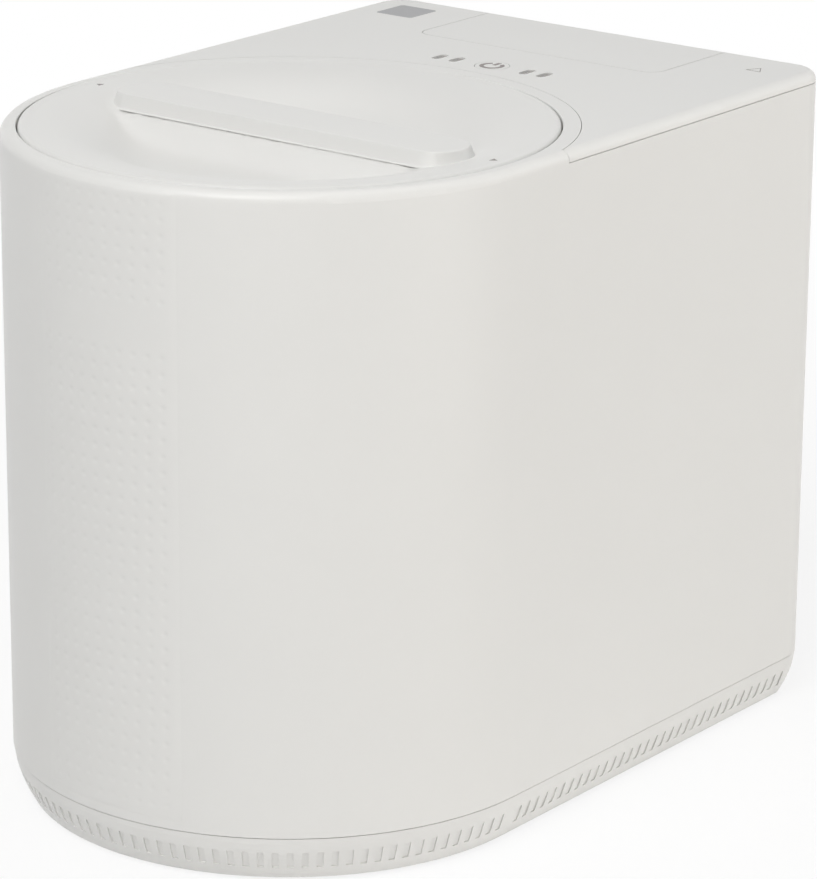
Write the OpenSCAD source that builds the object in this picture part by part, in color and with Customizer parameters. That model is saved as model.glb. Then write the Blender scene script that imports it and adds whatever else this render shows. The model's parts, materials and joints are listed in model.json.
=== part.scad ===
// Electric food waste composter: round nose in front, flat deck behind, bucket under a twist lid.
// Origin on the surface it stands on, at the middle of its box. The nose faces -Y.

/* [Body] */
// Outside width, also the diameter of the round nose
body_w = 270; // [266:1:276]
// Outside depth from nose to back
body_d = 390; // [386:1:400]
// Height of the rim and deck above the surface it stands on
body_top = 328.5; // [320:0.5:340]
// Wall thickness of the moulded housing
wall = 2.6; // [2.2:0.1:3]
// Radius of the two upright corners at the back
corner_r = 17; // [15:0.5:20]
// Rounding along the top edge
edge_r = 5; // [4:0.5:5.2]
// Height of the seam between housing and base
seam_z = 23.6; // [22.6:0.1:25]
// Width of the visible seams
seam_gap = 0.4; // [0.3:0.1:0.6]
// Radius of the pilot hole in a screw boss
boss_bore_r = 1.6; // [1.5:0.1:1.8]
// Outside radius of a screw boss
boss_r = 4.5; // [4:0.5:5]
// Height of the screw bosses in the housing
boss_h = 18; // [14:1:24]

/* [Base] */
// How far the feet stand below the base
foot_show = 1.5; // [1.2:0.1:2]
// Radius of a foot
foot_r = 9; // [8:0.5:10]
// How deep a foot sits in its pocket
foot_seat = 1.2; // [1:0.1:1.4]
// How far the skirt draws in at its foot
skirt_in = 7.6; // [7:0.1:8]
// How far the skirt lies behind the housing at the seam
skirt_step = 0.3; // [0.2:0.1:0.6]
// How sharply the skirt curves in towards its foot
skirt_bend = 1.7; // [1.3:0.1:2.2]
// Thickness of the base floor
floor_t = 3.2; // [3:0.1:3.6]
// Width of a slot in the skirt
slot_w = 3.1; // [2.8:0.1:3.5]
// Distance between slots
slot_pitch = 7.07; // [6.7:0.01:7.3]
// Height of the slots' lower ends
slot_low = 7.8; // [7.2:0.1:8.2]
// Height that a slot covers
slot_h = 8.6; // [8:0.1:9.2]
// Depth of a slot
slot_depth = 0.6; // [0.4:0.1:1.2]

/* [Collar and deck] */
// Width of the rim between the lid's opening and the outside of the nose
rim_w = 7.7; // [7:0.1:9]
// How far the collar's outer circle passes the sides of the body
collar_over = 0.7; // [0.4:0.1:1.2]
// Depth of the collar
collar_h = 12; // [11:0.5:13]
// Thickness of the collar's tube
collar_t = 2.6; // [2.2:0.1:3]
// Rounding of the rim's edge round the lid
lip_r = 0.7; // [0.5:0.1:0.9]
// How far behind the nose's centre the deck starts at the sides
deck_start = 35; // [33:1:38]
// Height of the deck's rim
deck_h = 5.5; // [5.4:0.1:6]
// Thickness of the deck's skin
deck_t = 2.6; // [2.4:0.1:2.8]
// Side of the square plate on the deck
plate_w = 23; // [21:0.5:25]
// Distance from the plate to the housing's outside
plate_in = 17.2; // [16:0.2:19]
// Thickness of the plate
plate_t = 0.8; // [0.6:0.1:1]

/* [Lid] */
// Gap round the lid
lid_gap = 0.7; // [0.5:0.1:0.8]
// Rounding of the lid's upper edge
lid_edge_r = 1.8; // [1.4:0.1:2.2]
// Thickness of the lid
lid_t = 2.6; // [2.4:0.1:3]
// Width of the lid's flat rim round the dip
lid_rim_w = 6.6; // [6:0.1:9]
// Radius of the flat bottom of the dip
dish_flat_r = 55; // [50:1:58]
// Depth of the dip
dish_depth = 17; // [15:0.5:18]
// Half the width of the ridge under the bar
ridge_half = 15.5; // [14:0.5:16]
// How deep below the rim the ridge's top lies
ridge_drop = 6.6; // [6.2:0.1:7]
// Room between the well and the lid's inner skirt
lug_ring_gap = 5.8; // [5.4:0.1:6.2]
// How far the lugs stand out of the inner skirt
lug_out = 5; // [4:0.5:5]
// Height of a lug
lug_h = 3; // [2.6:0.1:3.2]
// Width of a lug in degrees
lug_a = 20; // [16:1:24]
// Number of lugs
lugs = 4; // [3:1:5]
// Turn of the lid from open to locked, in degrees
lid_turn = 26; // [26:1:30]
// Radius of the hub that the lid turns on
hub_r = 9; // [8:0.5:10]

/* [Bar handle] */
// Distance from the bar's ends to the lid's edge
bar_in = 22.6; // [20:0.1:28]
// Width of the bar
bar_w = 36; // [34:0.5:38]
// How far the bar stands above the rim
bar_rise = 2.5; // [2:0.1:3]
// Height of the bar's edge
bar_t = 7.2; // [7:0.1:8]
// Rounding of the bar's upper edge
bar_r = 1.8; // [1.4:0.1:2.2]

/* [Controls] */
// Distance of the control row behind the collar
row_back = 16.8; // [15:0.1:24]
// Offset of the control row from the middle
row_x = 4; // [0:0.5:6]
// Radius of the power key
key_r = 8.6; // [8:0.1:9]
// Gap round the key
key_gap = 0.3; // [0.25:0.05:0.4]
// Travel of the key
key_travel = 1; // [0.8:0.1:1.2]
// Width of a dash
dash_w = 4.6; // [4:0.1:5]
// Length of a dash
dash_l = 10.6; // [10:0.1:11.5]
// How deep the dashes lie below the deck
dash_sink = 0.8; // [0.4:0.1:1]
// Distance from the key to the inner dashes
dash_in = 21.5; // [20.5:0.5:23]
// Distance from the inner to the outer dashes
dash_step = 10.5; // [9.5:0.5:12]
// Thickness of the control board
board_t = 1.6; // [1.4:0.1:2]

/* [Rear hatch and filters] */
// Width of the hatch
hatch_w = 147; // [145:1:150]
// Offset of the hatch from the middle
hatch_x = 2.5; // [0:0.5:4]
// Distance of the hatch behind the control row
hatch_back = 36.5; // [30:0.5:44]
// Height of the hatch's back
hatch_h = 118; // [114:1:122]
// Gap round the hatch
hatch_gap = 0.35; // [0.3:0.05:0.4]
// Rounding of the hatch's front corners
hatch_r = 8; // [6:0.5:10]
// Radius of a carbon cartridge
cart_r = 29.7; // [28:0.1:30]
// Length of the air duct from the felt to the fan
duct_l = 29.4; // [24:0.1:34]
// Distance between the two cartridges' axes
cart_pitch = 65; // [64.5:0.5:67]
// Height of the cartridges' axes below the deck
cart_drop = 66; // [64:1:70]
// Wall of the filter case
case_t = 2.5; // [2.2:0.1:3]
// Width of the square fan
fan_w = 84; // [80:1:86]
// Depth of the fan
fan_t = 25; // [24:0.5:27]
// Radius of the fan's round opening
fan_r = 38; // [36:0.5:39]
// Number of fan blades
blades = 7; // [5:1:9]
// Inside radius of the air duct
duct_r = 20; // [17:0.5:21]

/* [Back panel and inlet] */
// Width of the back panel
panel_w = 176; // [170:1:180]
// Distance from the back panel's upper edge to the hatch
panel_gap = 16.5; // [12:0.5:24]
// Height of the panel's lower edge
panel_z = 34; // [33:1:38]
// Width of the mains inlet's opening
inlet_w = 25; // [24.5:0.1:26]
// Height of the mains inlet's opening
inlet_h = 17; // [16.5:0.1:18]
// Depth of the mains inlet's opening
inlet_d = 17; // [16:0.5:18]

/* [Well and bucket] */
// Width of the ledge between the lid's opening and the well
well_ledge = 20.3; // [20:0.1:22]
// Thickness of the well's sheet
well_t = 1.2; // [1:0.1:1.5]
// Thickness of the felt round the well
felt_t = 3; // [2:0.5:4]
// Thickness of the heater plate
heater_t = 10; // [8:0.5:12]
// Room between the bucket's wall and the well
bucket_room = 13; // [12:0.5:16]
// Wall of the bucket
bucket_t = 2.4; // [2:0.1:2.8]
// Thickness of the bucket's floor
bucket_floor = 3; // [2.6:0.1:3.4]
// Room between the bucket's rim and the well
rim_room = 4; // [4:0.5:6]
// Thickness of the bail wire
bail_d = 5; // [4:0.5:5.5]
// Radius of the grinder shaft
shaft_r = 5; // [4.5:0.5:5.5]
// Room between the grinder's arms and the bucket's wall
sweep_room = 5.6; // [4.5:0.1:9]
// Number of grinder arms
arms = 3; // [2:1:4]

/* [Drive] */
// Running clearance of a shaft in its bearing
run_gap = 0.05; // [0.03:0.01:0.08]
// Wall of the gear case
gear_wall = 3; // [2.6:0.1:3.4]
// Height of the gear case above the base floor
case_stand = 6; // [5:0.5:8]
// Thickness of the gears
gear_t = 10; // [8:0.5:11]
// Tooth size of the slow pair, pitch diameter over teeth
mod_slow = 2; // [1.95:0.01:2.03]
// Tooth size of the fast pair, pitch diameter over teeth
mod_fast = 1.5; // [1.48:0.01:1.54]
// Play between meshing teeth, in degrees of the smaller gear
tooth_play = 1.2; // [1:0.1:1.6]
// Radius of the spindle
spindle_r = 6; // [5.5:0.5:6.5]
// Radius of the motor
motor_r = 26; // [24:0.5:26.5]
// Height of the motor
motor_h = 78; // [70:1:90]

/* [Hidden] */
$fn = 96;

// Places of the main parts
gap = 0.3;
nose_r = body_w / 2;
nose_y = (body_w - body_d) / 2;
back_y = body_d / 2;
base_z = foot_show;
floor_z = base_z + floor_t;
flat_x = nose_r - corner_r;
ring_r = nose_r - rim_w;
ring_out_r = nose_r + collar_over;
well_r = ring_r - well_ledge;
bucket_r = well_r - bucket_room;
rim_r = well_r - rim_room;
sweep_r = bucket_r - bucket_t - sweep_room;

// Levels under the well, from the base up
case_z = floor_z + case_stand;
case_in_z = case_z + gear_wall;
fast_z = case_in_z + 9;
slow_z = fast_z + gear_t + 5;
cover_z = slow_z + gear_t + 4;
cover_top = cover_z + gear_wall;
well_z = cover_top + 8;
well_floor = well_z + well_t;
heater_top = well_floor + heater_t;
bucket_z = heater_top + gap;
sensor_x = 45;
sensor_r = 5;

// Levels under the rim, from the deck down
ledge_z = body_top - collar_h;
bayonet_h = 8;
flange_z = ledge_z - bayonet_h;
gallery_h = lug_h + 1;
lug_z = flange_z + gap;
lid_r = ring_r - lid_gap;
dish_r = lid_r - lid_rim_w;
bar_l = 2 * (lid_r - bar_in);
lug_ring_r = well_r + lug_ring_gap;
dish_under = body_top - dish_depth - lid_t;
liner_t = 2.5;
liner_top = dish_under - 1.4;
liner_z = liner_top - liner_t;
liner_r = well_r - 4;
bail_z = liner_z - bail_d / 2 - 3;
rim_z = bail_z - bail_d / 2 - 1;
bucket_h = rim_z - bucket_z;

// Coupling and bucket floor
dog_r = 16;
jaw_h = 7;
jaw_a = 50;
drive_z = well_floor + 0.6;
jaw_z = drive_z + 6;
dog_z = jaw_z + jaw_h + gap;
dog_t = 5;
step_z = dog_z + dog_t + 1.5;
step_r = dog_r + 9;
boss_top = step_z + 14;
hub_z = boss_top + 3.6;
hub_out_r = 14;
hub_h = 30;
arm_top = hub_z + 6;
breaker_room = 44;
breaker_w = 8;
step_wall = 3;
bush_out_r = 8;
boss_wall_r = bush_out_r + 4;
rim_t = 2;
ear_r = 5;

// Gear train
teeth_drive = 4 * round(0.14 * well_r);
teeth_slow = 14;
teeth_motor = 14;
drive_pitch = mod_slow * teeth_drive / 2;
slow_centres = mod_slow * (teeth_drive + teeth_slow) / 2;
motor_room = 2.8;
motor_back = well_r + well_t + felt_t + motor_room + motor_r;
teeth_idler = ceil(2 * (motor_back - slow_centres) / mod_fast - 0.01) - teeth_motor;
idler_y = nose_y + slow_centres;
motor_y = idler_y + mod_fast * (teeth_idler + teeth_motor) / 2;
pin_r = 4;
bush_r = 10;
boss_rise = 8;

// Air path and hatch
cart_z = body_top - cart_drop;
fan_y = nose_y + well_r + well_t + felt_t + duct_l;
case_front = fan_y + fan_t + gap + case_t;
case_back = back_y - wall - 8;
cart_l = case_back - 4 - case_front;
case_half = cart_pitch / 2 + cart_r + gap + case_t;

// Controls
row_y = nose_y + ring_out_r + row_back;
hatch_front = row_y + hatch_back;
hatch_z = body_top - hatch_h;
board_top = body_top - deck_t - 6;
board_w = 96;
board_post_x = board_w / 2 - 6;

// Back panel and mains inlet
panel_h = hatch_z - panel_gap - panel_z;
vent_rise = (panel_h - 96) / 2;
panel_sink = 1.3;
ledge_w = 8;
inlet_x = 58;
inlet_z = panel_z + 26;
inlet_wall = 2.7;
pull_w = 60;
pull_h = 14;
pull_z = hatch_z + 20;

// Power board and its parts
power_w = 44;
power_d = 84;
power_x = -nose_r + 24;
power_y = back_y - 28 - power_d;
power_z = floor_z + 8;
parts_z = power_z + board_t;

// Fastening points
screw_r = 1.5;
screw_hole_r = 1.9;
screw_head_r = 3.4;
screw_sink = 1.8;
vent_w = 3.6;
foot_in = skirt_step + skirt_in + foot_r + 7.5;
foot_at = [for (side = [-1, 1]) each [
    [side * (nose_r - foot_in) * cos(45), nose_y - (nose_r - foot_in) * sin(45)],
    [side * (nose_r - foot_in - 3), back_y - foot_in - 5]]];
post_r = 5;
post_at = [for (a = [30, 150, 225, 315]) [(well_r - 15) * cos(a), nose_y + (well_r - 15) * sin(a)]];
screw_x = nose_r - skirt_step - skirt_in - boss_r - 0.4;
screw_at = [for (side = [-1, 1], y = [nose_y + 20, back_y - 60]) [side * screw_x, y]];
case_at = [[0, nose_y, drive_pitch + mod_slow + 3],
    [0, idler_y, mod_fast * (teeth_idler + 2) / 2 + 3], [0, motor_y, motor_r]];
cover_screw_at = [for (side = [-1, 1], i = [0, 1]) let (a = i == 0 ? -30 : 30)
    [side * (case_at[i][2] + 4) * cos(a), case_at[i][1] + (case_at[i][2] + 4) * sin(a)]];
motor_screw_x = motor_r - 8;
armature_r = motor_r - 8;
can_end = 9;

// Colours
white = [0.87, 0.87, 0.85];
grey = [0.35, 0.35, 0.36];
dark = [0.15, 0.15, 0.16];
steel = [0.7, 0.7, 0.72];
brass = [0.8, 0.65, 0.3];
green = [0.1, 0.4, 0.25];

// Basic shapes

module at_nose(z = 0) { translate([0, nose_y, z]) children(); }

module at_each(places, z = 0) { for (p = places) translate([p[0], p[1], z]) children(); }

module ring(r_out, r_in, h) {
    difference() {
        cylinder(r = r_out, h = h);
        translate([0, 0, -1]) cylinder(r = r_in, h = h + 2);
    }
}

// Half outline of a block, from its axis out to r, rounded at the upper corner
module puck_2d(r, h, round_r = 0) {
    if (round_r > 0) {
        square([r - round_r, h]);
        square([r, h - round_r]);
        translate([r - round_r, h - round_r]) intersection() {
            circle(r = round_r);
            square(round_r);
        }
    } else square([r, h]);
}

// Carries a half outline round the body's plan: nose, sides, back corners and back
module round_plan() {
    at_nose() rotate_extrude() let ($reach = nose_r) children();
    translate([0, back_y - corner_r, 0]) rotate([90, 0, 0])
        linear_extrude(back_y - corner_r - nose_y) let ($reach = nose_r) {
            children();
            mirror([1, 0]) children();
        }
    translate([-flat_x, nose_y, 0]) rotate([90, 0, 90])
        linear_extrude(2 * flat_x) let ($reach = back_y - nose_y) children();
    for (side = [-1, 1])
        translate([side * flat_x, back_y - corner_r, 0])
            rotate_extrude() let ($reach = corner_r) children();
}

// Block with the body's plan, set in from its outside
module plan_block(z0, z1, inset = 0, round_r = 0) {
    round_plan() translate([0, z0]) puck_2d($reach - inset, z1 - z0, round_r);
}

// Plate along Y with rounded front corners, for the hatch and its recess
module hatch_plan(grow, z0, z1) {
    w = hatch_w + 2 * grow;
    y0 = hatch_front - grow;
    r = hatch_r + grow;
    translate([hatch_x - w / 2, y0 + r, z0]) cube([w, back_y + 20 - y0 - r, z1 - z0]);
    translate([hatch_x - w / 2 + r, y0, z0]) cube([w - 2 * r, r + 1, z1 - z0]);
    for (side = [-1, 1])
        translate([hatch_x + side * (w / 2 - r), y0 + r, z0]) cylinder(r = r, h = z1 - z0);
}

// Bar with round ends, rounded along its upper edge
module bar_block(l, w, h, round_r = 0) {
    half = l / 2 - w / 2;
    for (side = [-1, 1])
        translate([side * half, 0, 0]) rotate_extrude() puck_2d(w / 2, h, round_r);
    translate([-half, 0, 0]) rotate([90, 0, 90]) linear_extrude(2 * half) {
        puck_2d(w / 2, h, round_r);
        mirror([1, 0]) puck_2d(w / 2, h, round_r);
    }
}

module slot_block(w, l, h) {
    translate([-w / 2, -l / 2 + w / 2, 0]) cube([w, l - w, h]);
    for (side = [-1, 1]) translate([0, side * (l - w) / 2, 0]) cylinder(r = w / 2, h = h);
}

// Countersunk or pan screw pointing up
module screw(r, l, head_r, head_h) {
    translate([0, 0, -head_h]) difference() {
        cylinder(r = head_r, h = head_h);
        for (turn = [0, 90])
            rotate(turn) translate([-head_r * 0.6, -0.4, -1]) cube([head_r * 1.2, 0.8, 1.8]);
    }
    translate([0, 0, -0.01]) cylinder(r = r, h = l + 0.01);
}

// Gear teeth

function involute(a) = tan(a) * 180 / PI - a;

function flank_angle(r, pitch_r, base_r, teeth, play) =
    90 / teeth - play / 2 + involute(20) - involute(r > base_r ? acos(base_r / r) : 0);

module gear(teeth, module_size, play, h, bore_r) {
    pitch_r = module_size * teeth / 2;
    base_r = pitch_r * cos(20);
    root_r = pitch_r - 1.2 * module_size;
    tip_r = pitch_r + 0.85 * module_size;
    start_r = max(base_r, root_r + 0.01);
    steps = [root_r, for (i = [0:3]) start_r + (tip_r - start_r) * i / 3];
    outline = [for (tooth = [0:teeth - 1]) for (side = [-1, 1]) for (i = [0:4])
        let (r = steps[side < 0 ? i : 4 - i],
            a = 360 / teeth * tooth + side * flank_angle(r, pitch_r, base_r, teeth, play))
        r * [cos(a), sin(a)]];
    difference() {
        linear_extrude(h) polygon(outline);
        translate([0, 0, -1]) cylinder(r = bore_r, h = h + 2);
    }
}

// Housing

// Screw bosses with a web out to the wall
module shell_bosses() {
    web = nose_r - wall / 2 - screw_x;
    for (at = screw_at) translate([at[0], at[1], seam_z + seam_gap]) difference() {
        union() {
            cylinder(r = boss_r, h = boss_h);
            translate([at[0] > 0 ? 0 : -web, -wall / 2, 0]) cube([web, wall, boss_h]);
        }
        translate([0, 0, -1]) cylinder(r = boss_bore_r, h = boss_h - 3);
    }
}

module body_shell() {
    color(white) {
        difference() {
            union() {
                difference() {
                    plan_block(seam_z + seam_gap, body_top, 0, edge_r);
                    plan_block(seam_z - 1, body_top - wall, wall, edge_r - wall);
                }
                at_nose(ledge_z) cylinder(r = ring_r + collar_t, h = collar_h - 1);
                translate([-panel_w / 2 - ledge_w, back_y - wall - 2.5, panel_z - ledge_w + 2])
                    cube([panel_w + 2 * ledge_w, 3, panel_h + 2 * ledge_w - 2]);
                shell_bosses();
            }
            at_nose(seam_z) cylinder(r = ring_r, h = body_top);
            at_nose() lip_cut();
            difference() {
                translate([-nose_r - 1, nose_y + deck_start, body_top - deck_h - gap])
                    cube([body_w + 2, body_d, deck_h + 1]);
                at_nose() cylinder(r = ring_out_r, h = body_top + 2);
            }
            translate([-panel_w / 2 - gap, back_y - wall, panel_z - gap])
                cube([panel_w + 2 * gap, wall + 1, panel_h + 2 * gap]);
            translate([-panel_w / 2 + ledge_w, back_y - wall - 5, panel_z + ledge_w])
                cube([panel_w - 2 * ledge_w, wall + 6, panel_h - 2 * ledge_w]);
            translate([hatch_x - hatch_w / 2 - hatch_gap, back_y - wall - 1, hatch_z - hatch_gap])
                cube([hatch_w + 2 * hatch_gap, wall + 3, hatch_h]);
            panel_screw_places(back_y - wall - 4) cylinder(r = 1.4, h = 5);
        }
    }
}

// Takes the edge off the rim round the lid
module lip_cut() {
    rotate_extrude() difference() {
        translate([ring_r - 1, body_top - lip_r]) square(lip_r + 1);
        translate([ring_r + lip_r, body_top - lip_r]) circle(r = lip_r);
    }
}

module panel_screw_places(y) {
    for (x = [-1, 1], z = [panel_z + 5, panel_z + panel_h - 5])
        translate([x * (panel_w / 2 - 5), y, z]) rotate([-90, 0, 0]) children();
}

module top_deck() {
    color(white) {
        difference() {
            plan_block(body_top - deck_h, body_top, 0, edge_r);
            difference() {
                plan_block(body_top - deck_h - 1, body_top - deck_t, wall + 1);
                at_nose() cylinder(r = ring_out_r + wall + 1, h = body_top + 1);
                translate([-nose_r, nose_y, 0]) cube([body_w, deck_start + wall + 1, body_top]);
                hatch_plan(4, body_top - deck_h - 2, body_top);
            }
            at_nose() cylinder(r = ring_out_r + gap, h = body_top + 1);
            translate([-nose_r - 1, -back_y - 1, body_top - deck_h - 2])
                cube([body_w + 2, back_y + 1 + nose_y + deck_start + gap, deck_h + 4]);
            hatch_plan(hatch_gap, body_top - deck_t - gap, body_top + 1);
            translate([hatch_x - hatch_w / 2 - hatch_gap, back_y - edge_r - gap, 0])
                cube([hatch_w + 2 * hatch_gap, edge_r + 2, body_top + 1]);
            plate_place(body_top - plate_t) plate_block(plate_w + 0.2, plate_t + 1);
            translate([row_x, row_y, 0]) {
                cylinder(r = key_r + key_gap, h = body_top + 1);
                dash_places() slot_block(dash_w + 0.2, dash_l + 0.2, body_top + 1);
            }
        }
        board_posts();
        case_webs();
    }
}

module board_posts() {
    for (side = [-1, 1])
        translate([row_x + side * board_post_x, row_y, board_top])
            cylinder(r = 3.4, h = body_top - deck_t + 0.2 - board_top);
}

// Two webs that hang down from the deck and carry the filter case
module case_webs() {
    top = cart_z + cart_r + gap + case_t;
    for (side = [-1, 1])
        translate([hatch_x + side * cart_pitch / 2 - 9, case_front + 2, top])
            cube([18, 4, body_top - deck_t + 0.2 - top]);
}

module plate_place(z) {
    translate([-nose_r + plate_in + plate_w / 2, back_y - plate_in - plate_w / 2, z]) children();
}

module plate_block(w, h) {
    r = 2;
    translate([-w / 2 + r, -w / 2, 0]) cube([w - 2 * r, w, h]);
    translate([-w / 2, -w / 2 + r, 0]) cube([w, w - 2 * r, h]);
    for (x = [-1, 1], y = [-1, 1]) translate([x * (w / 2 - r), y * (w / 2 - r), 0])
        cylinder(r = r, h = h);
}

module dash_places() {
    for (side = [-1, 1], d = [dash_in, dash_in + dash_step]) translate([side * d, 0, 0]) children();
}

module deck_plate() {
    color(grey) plate_place(body_top - plate_t) plate_block(plate_w, plate_t);
}

// Base

// How far the skirt lies behind the housing's wall at height z
function skirt_at(z) = skirt_step
    + skirt_in * pow(max(seam_z - max(z, base_z), 0) / (seam_z - base_z), skirt_bend);

// Half outline of the skirt with its curved side, set in by inset
module skirt_2d(z0, z1, inset) {
    n = 8;
    polygon([[0, z0], for (i = [0:n]) let (z = z0 + (z1 - z0) * i / n) [$reach - inset - skirt_at(z), z],
        [0, z1]]);
}

// Tool for one slot, leaning like the skirt
module slot_tool() {
    lean = atan((skirt_at(slot_low) - skirt_at(slot_low + slot_h)) / slot_h);
    translate([nose_r - skirt_at(slot_low), 0, slot_low]) rotate([0, lean, 0])
        translate([-slot_depth, -slot_w / 2, 0]) cube([slot_depth + 4, slot_w, slot_h / cos(lean)]);
}

module skirt_slots() {
    step_a = slot_pitch / nose_r * 180 / PI;
    nose_n = floor(90 / step_a);
    for (i = [-nose_n:nose_n]) at_nose() rotate(-90 + i * step_a) slot_tool();
    side_n = floor((back_y - corner_r - nose_y) / slot_pitch);
    for (i = [1:side_n], turn = [0, 180])
        translate([0, nose_y + i * slot_pitch, 0]) rotate(turn) slot_tool();
}

module base_pan() {
    color(white) {
        difference() {
            round_plan() skirt_2d(base_z, seam_z, 0);
            round_plan() skirt_2d(floor_z, seam_z + 1, wall);
            skirt_slots();
            at_each(foot_at, base_z - 1) cylinder(r = foot_r + 0.1, h = foot_seat + 1);
            at_each(screw_at, 0) {
                cylinder(r = screw_hole_r, h = seam_z);
                cylinder(r = screw_head_r + gap, h = base_z + screw_sink);
            }
            for (i = [-4:4]) translate([i * 12 - vent_w / 2, motor_y + 12, base_z - 1])
                cube([vent_w, 50, floor_t + 2]);
        }
        at_each(screw_at, floor_z - 0.2) ring(boss_r, screw_hole_r, seam_z + seam_gap - floor_z + 0.2);
        at_each(post_at, floor_z - 0.2) cylinder(r = post_r, h = well_z - floor_z + 0.2);
        at_each(cover_screw_at, floor_z - 0.2) cylinder(r = 6, h = case_stand + 0.2);
        at_each([for (x = [5, power_w - 5], y = [5, power_d - 5]) [power_x + x, power_y + y]],
            floor_z - 0.2) cylinder(r = 4, h = power_z - floor_z + 0.2);
    }
}

module feet() {
    color(dark) at_each(foot_at) difference() {
        cylinder(r = foot_r, h = base_z + foot_seat);
        translate([0, 0, -1]) cylinder(r = foot_r - 4, h = 1.8);
    }
}

module base_screws() {
    color(steel) at_each(screw_at, base_z + screw_sink) screw(screw_r, seam_z + 6, screw_head_r, 1.4);
}

// Back panel and inlet

module back_panel() {
    color(white) difference() {
        translate([-panel_w / 2, back_y - wall, panel_z]) cube([panel_w, wall, panel_h]);
        panel_screw_places(back_y - wall - 1) cylinder(r = 1.7, h = wall + 2);
        panel_screw_places(back_y - panel_sink) cylinder(r = 3 + gap, h = panel_sink + 1);
        translate([inlet_x - inlet_w / 2 - inlet_wall - gap, back_y - wall - 1,
            inlet_z - inlet_h / 2 - inlet_wall - gap])
            cube([inlet_w + 2 * (inlet_wall + gap), wall + 2, inlet_h + 2 * (inlet_wall + gap)]);
        for (i = [0:8], row = [0, 1])
            translate([-68 + i * 9, back_y - wall - 1, panel_z + 62 + row * (vent_rise + 8)])
                cube([vent_w, wall + 2, vent_rise]);
    }
}

module back_screws() {
    color(steel) panel_screw_places(back_y - panel_sink) rotate([180, 0, 0])
        screw(1.35, 5, 3, panel_sink - 0.1);
}

module inlet_socket() {
    w = inlet_w + 2 * inlet_wall;
    h = inlet_h + 2 * inlet_wall;
    color(dark) difference() {
        union() {
            translate([inlet_x - w / 2, back_y - inlet_d - 5, inlet_z - h / 2])
                cube([w, inlet_d + 5, h]);
            translate([inlet_x - w / 2 - 4, back_y - wall - 2.3, inlet_z - h / 2 - 4])
                cube([w + 8, 2.2, h + 8]);
        }
        translate([inlet_x - inlet_w / 2, back_y - inlet_d, inlet_z - inlet_h / 2])
            cube([inlet_w, inlet_d + 1, inlet_h]);
        blades(0.05);
    }
}

module blades(grow) {
    for (p = [[-7, 2.4], [0, -1.6], [7, 2.4]])
        translate([inlet_x + p[0] - 1 - grow, back_y - inlet_d - 9, inlet_z + p[1] - 2 - grow])
            cube([2 + 2 * grow, inlet_d + 6, 4 + 2 * grow]);
}

module inlet_blades() { color(brass) blades(0); }

// Hatch, filters and fan

module rear_hatch() {
    color(white) {
        difference() {
            intersection() {
                translate([hatch_x - hatch_w / 2, 0, 0]) rotate([90, 0, 90])
                    linear_extrude(hatch_w) difference() {
                        translate([0, hatch_z]) puck_2d(back_y, hatch_h, edge_r);
                        translate([0, hatch_z - 1])
                            puck_2d(back_y - wall, hatch_h + 1 - deck_t, edge_r - wall);
                    }
                hatch_plan(0, hatch_z - 1, body_top + 1);
            }
            for (i = [0:15]) translate([hatch_x - 60 + i * 8 - 1.9, back_y - wall - 1, hatch_z + 44])
                cube([3.8, wall + 2, 40]);
            translate([hatch_x, back_y + 1, pull_z]) rotate([90, 0, 0])
                rotate(90) slot_block(pull_h, pull_w, wall + 2);
        }
        translate([hatch_x, back_y - wall + 0.2, pull_z]) rotate([90, 0, 0]) rotate(90)
            difference() {
                slot_block(pull_h + 4, pull_w + 4, 7);
                translate([0, 0, -1]) slot_block(pull_h, pull_w, 6);
            }
        for (side = [-1, 1])
            translate([hatch_x + side * (case_half + gap + 1.3) - 1.3, back_y - wall - 20, cart_z - 6])
                cube([2.6, 20.2, 12]);
    }
}

module filter_case() {
    d = case_back - case_front + case_t;
    color(grey) translate([hatch_x, case_front - case_t, cart_z]) difference() {
        translate([-case_half, 0, -cart_r - gap - case_t])
            cube([2 * case_half, d, 2 * (cart_r + gap + case_t)]);
        for (side = [-1, 1]) translate([side * cart_pitch / 2, 0, 0]) rotate([-90, 0, 0]) {
            translate([0, 0, case_t]) cylinder(r = cart_r + gap, h = d);
            translate([0, 0, -1]) cylinder(r = 14, h = d);
        }
    }
}

module cartridge(side) {
    at = hatch_x + side * cart_pitch / 2;
    translate([at, case_front + 2.8, cart_z]) rotate([-90, 0, 0]) {
        difference() {
            cylinder(r = cart_r, h = cart_l - 4);
            for (i = [0:4]) translate([0, 0, 10 + i * 11]) ring(cart_r + 1, cart_r - 1.4, 6);
            translate([0, 0, -1]) cylinder(r = 12, h = cart_l - 16);
        }
        translate([-12, -1.5, cart_l - 4.2]) cube([24, 3, 7]);
    }
}

module filter_left() { color(dark) cartridge(-1); }

module filter_right() { color(dark) cartridge(1); }

module filter_seals() {
    color(dark) for (side = [-1, 1])
        translate([hatch_x + side * cart_pitch / 2, case_front, cart_z]) rotate([-90, 0, 0])
            ring(20, 14.2, 2.5);
}

module fan_frame() {
    hub = 14;
    color(dark) translate([0, fan_y, cart_z]) {
        difference() {
            translate([-fan_w / 2, 0, -fan_w / 2]) cube([fan_w, fan_t, fan_w]);
            translate([0, -1, 0]) rotate([-90, 0, 0]) cylinder(r = fan_r, h = fan_t + 2);
        }
        translate([0, fan_t - 5, 0]) rotate([-90, 0, 0]) cylinder(r = hub, h = 4);
        for (a = [0:60:300]) translate([0, fan_t - 4, 0]) rotate([0, a, 0])
            translate([hub - 1, 0, -1.5]) cube([fan_r + 2.5 - hub, 2, 3]);
        translate([0, 6, 0]) rotate([-90, 0, 0]) cylinder(r = 2, h = fan_t - 10);
    }
}

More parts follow.
